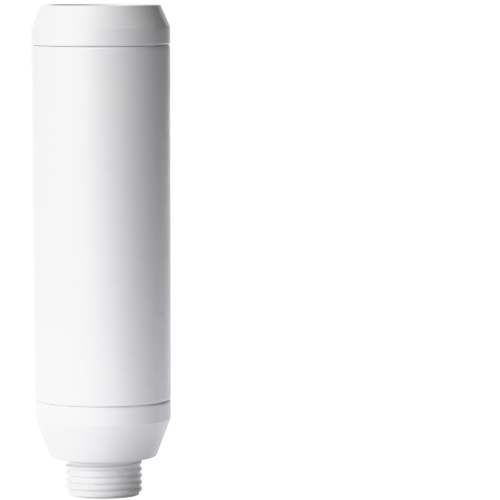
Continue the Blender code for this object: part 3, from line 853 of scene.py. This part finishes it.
def makeSpring():            # its pitch opens between two close end coils
    radius, foot, top = boxOf("compression_spring")
    wire = spring["wireRadius"]
    low = foot + wire
    endPitch = 2 * wire + spring["endGap"]
    openTurns = spring["turns"] - 2 * spring["endTurns"]
    openPitch = (top - wire - low - 2 * spring["endTurns"] * endPitch) / openTurns
    wound = {"Coil Radius": (radius - wire) * mm, "Wire Radius": wire * mm, "Low": low * mm,
             "Turns": spring["turns"], "End Turns": spring["endTurns"], "End Pitch": endPitch * mm,
             "Open Pitch": openPitch * mm, "Samples": spring["samples"],
             "Wire Sides": spring["wireSides"], "Material": finishes["spring_steel"]}
    mesh = runTree("compressionSpring", bpy.data.meshes.new("springStart"), [(springTree(), wound)])
    placePiece("compressionSpring", mesh, "filter_body", "compression_spring")


holePlate = holePlateTree()
wovenWire = wovenTree()
feltPad = feltTree()
granuleBed = granuleTree()
for node, slot in plates.items():
    makePlate(node, slot)
for node, screen in screens.items():
    makeScreen(node, screen)
for node in felts["nodes"]:
    makeFelt(node)
for node, bed in beds.items():
    makeBed(node, bed)
makeSpring()
print("filter stack ready")

# lengths in millimetres and angles in degrees
view = {"away": 1038.2, "eye": 152.9, "pitch": 4.746, "yaw": -2.215, "roll": 0.189,
        "lens": 275.832, "sensor": 36.0, "clipStart": 50.0, "clipEnd": 60000.0}


def makeCamera():
    camera = bpy.data.objects.new("camera", bpy.data.cameras.new("camera"))
    bpy.context.scene.collection.objects.link(camera)
    camera.data.sensor_width = view["sensor"]
    camera.data.lens = view["lens"]
    camera.data.clip_start = view["clipStart"] * mm
    camera.data.clip_end = view["clipEnd"] * mm
    turn = Matrix.Rotation(math.radians(view["yaw"]), 4, "Z")
    lean = Matrix.Rotation(math.radians(90.0 - view["pitch"]), 4, "X")
    roll = Matrix.Rotation(math.radians(-view["roll"]), 4, "Z")
    camera.matrix_world = Matrix.Translation((0.0, -view["away"] * mm, view["eye"] * mm)) \
        @ turn @ lean @ roll
    bpy.context.scene.camera = camera


makeCamera()

# plain tones, with a soft shoulder that keeps the bright side just under white
toneCurve = ((0.0, 0.0), (0.70, 0.70), (0.86, 0.835), (1.05, 0.925), (1.5, 1.04))


def setTones():
    settings = bpy.context.scene.view_settings
    settings.view_transform = "Standard"
    settings.use_curve_mapping = True
    mapping = settings.curve_mapping
    mapping.use_clip = False
    curve = mapping.curves[3]
    curve.points[1].location = toneCurve[-1]
    for place in toneCurve[1:-1]:
        curve.points.new(*place)
    mapping.update()


setTones()

# lights and studio are in metres, apart from lift and drop; angles run round the part from the
# camera's side, growing to the right; radiance sets each panel's brightness whatever its size
aimHeight = 0.07
lights = {
    "keyLight": {"azimuth": -48.0, "away": 1.3, "height": 0.56, "width": 1.4, "tall": 1.1,
                 "radiance": 3.75, "colour": (1.0, 1.0, 1.0)},
    "topLight": {"azimuth": -60.0, "away": 0.45, "height": 1.2, "width": 0.7, "tall": 0.7,
                 "radiance": 1.9, "colour": (1.0, 1.0, 1.0)},
    "backPanel": {"azimuth": 180.0, "away": 1.5, "height": 0.45, "width": 2.0, "tall": 1.5,
                  "radiance": 1.0, "colour": (1.0, 1.0, 1.0)}}
floorGlow = {"panels": 4, "away": 0.06, "width": 0.12, "tall": 0.045, "radiance": 1.05,
             "colour": (0.94, 0.92, 1.0), "lift": 0.6}
studio = {"ambient": 0.02, "ambientColour": (0.92, 0.90, 1.0, 1.0), "floorGrey": 0.45,
          "mirrorShine": 1.05, "mirrorNear": 1.5, "mirrorFar": 3.0,
          "shineNear": 1.5, "shineFar": 1.75, "shineReach": 0.6,
          "dishRadius": 3.0, "dishBend": 1.0, "dishSteps": 12, "dishTop": 3.0, "dishTurns": 96,
          "merge": 0.0001, "drop": 0.1}


def areaLight(name, light, azimuth, height):
    lamp = bpy.data.lights.new(name, "AREA")
    lamp.shape = "RECTANGLE"
    lamp.size = light["width"]
    lamp.size_y = light["tall"]
    lamp.energy = 4 * light["radiance"] * light["width"] * light["tall"]
    lamp.color = light["colour"]
    placed = bpy.data.objects.new(name, lamp)
    bpy.context.scene.collection.objects.link(placed)
    placed.visible_camera = False
    spin = math.radians(azimuth)
    placed.location = (math.sin(spin) * light["away"], -math.cos(spin) * light["away"], height)
    return placed


def makeLights():
    for name, light in lights.items():
        panel = areaLight(name, light, light["azimuth"], light["height"])
        aim = Vector((0.0, 0.0, aimHeight)) - panel.location
        panel.rotation_euler = aim.to_track_quat("-Z", "Y").to_euler()
    for number in range(floorGlow["panels"]):      # flat on the floor, shining up, not mirrored
        azimuth = 360.0 * number / floorGlow["panels"]
        panel = areaLight("floorGlow" + str(number), floorGlow, azimuth, floorGlow["lift"] * mm)
        panel.rotation_euler = (math.pi, 0.0, math.radians(azimuth))
        panel.visible_glossy = False


def makeWorld():
    world = bpy.data.worlds.new("studio")
    bpy.context.scene.world = world
    world.use_nodes = True
    sky = world.node_tree.nodes["Background"]
    sky.inputs["Color"].default_value = studio["ambientColour"]
    sky.inputs["Strength"].default_value = studio["ambient"]


def makeFloor():         # a wide shallow dish, so that the floor rises to be its own backdrop
    material = bpy.data.materials.new("paleFloor")
    material.use_nodes = True
    material.node_tree.nodes.clear()
    graph = Graph(material.node_tree)
    grey = studio["floorGrey"]
    ray = graph.node("ShaderNodeLightPath", output="Is Camera Ray")
    mirrored = ray.of("Is Glossy Ray")
    lit = graph.node("ShaderNodeBsdfDiffuse", None, {"Color": (grey, grey, grey, 1)})
    spread = graph.vector("LENGTH", graph.node("ShaderNodeTexCoord", output="Object")).of("Value")
    shine = graph.ramp(spread, 0.0, studio["shineReach"], studio["shineNear"], studio["shineFar"])
    mirror = graph.ramp(spread, studio["mirrorNear"], studio["mirrorFar"], studio["mirrorShine"], 0.0)
    glow = graph.node("ShaderNodeEmission", None, {
        "Color": (1, 1, 1, 1), "Strength": ray * shine + mirrored * mirror})
    surface = graph.node("ShaderNodeAddShader", None, {0: lit, 1: glow})
    graph.node("ShaderNodeOutputMaterial", None, {"Surface": surface})
    reach = studio["dishRadius"]
    bend = studio["dishBend"]
    points = [(0.0, 0.0), (reach, 0.0)]
    for step in range(1, studio["dishSteps"] + 1):
        angle = tau / 4 * step / studio["dishSteps"]
        points.append((reach + bend * math.sin(angle), bend - bend * math.cos(angle)))
    points.append((reach + bend, studio["dishTop"]))
    mesh = bpy.data.meshes.new("floor")
    mesh.from_pydata([(radius, 0.0, height - studio["drop"] * mm) for radius, height in points],
                     [(n, n + 1) for n in range(len(points) - 1)], [])
    floor = bpy.data.objects.new("floor", mesh)
    bpy.context.scene.collection.objects.link(floor)
    screw = floor.modifiers.new("dish", "SCREW")
    screw.steps = screw.render_steps = studio["dishTurns"]
    screw.use_merge_vertices = True
    screw.merge_threshold = studio["merge"]
    screw.use_smooth_shade = True
    mesh.materials.append(material)


makeLights()
makeWorld()
makeFloor()
print("studio ready")
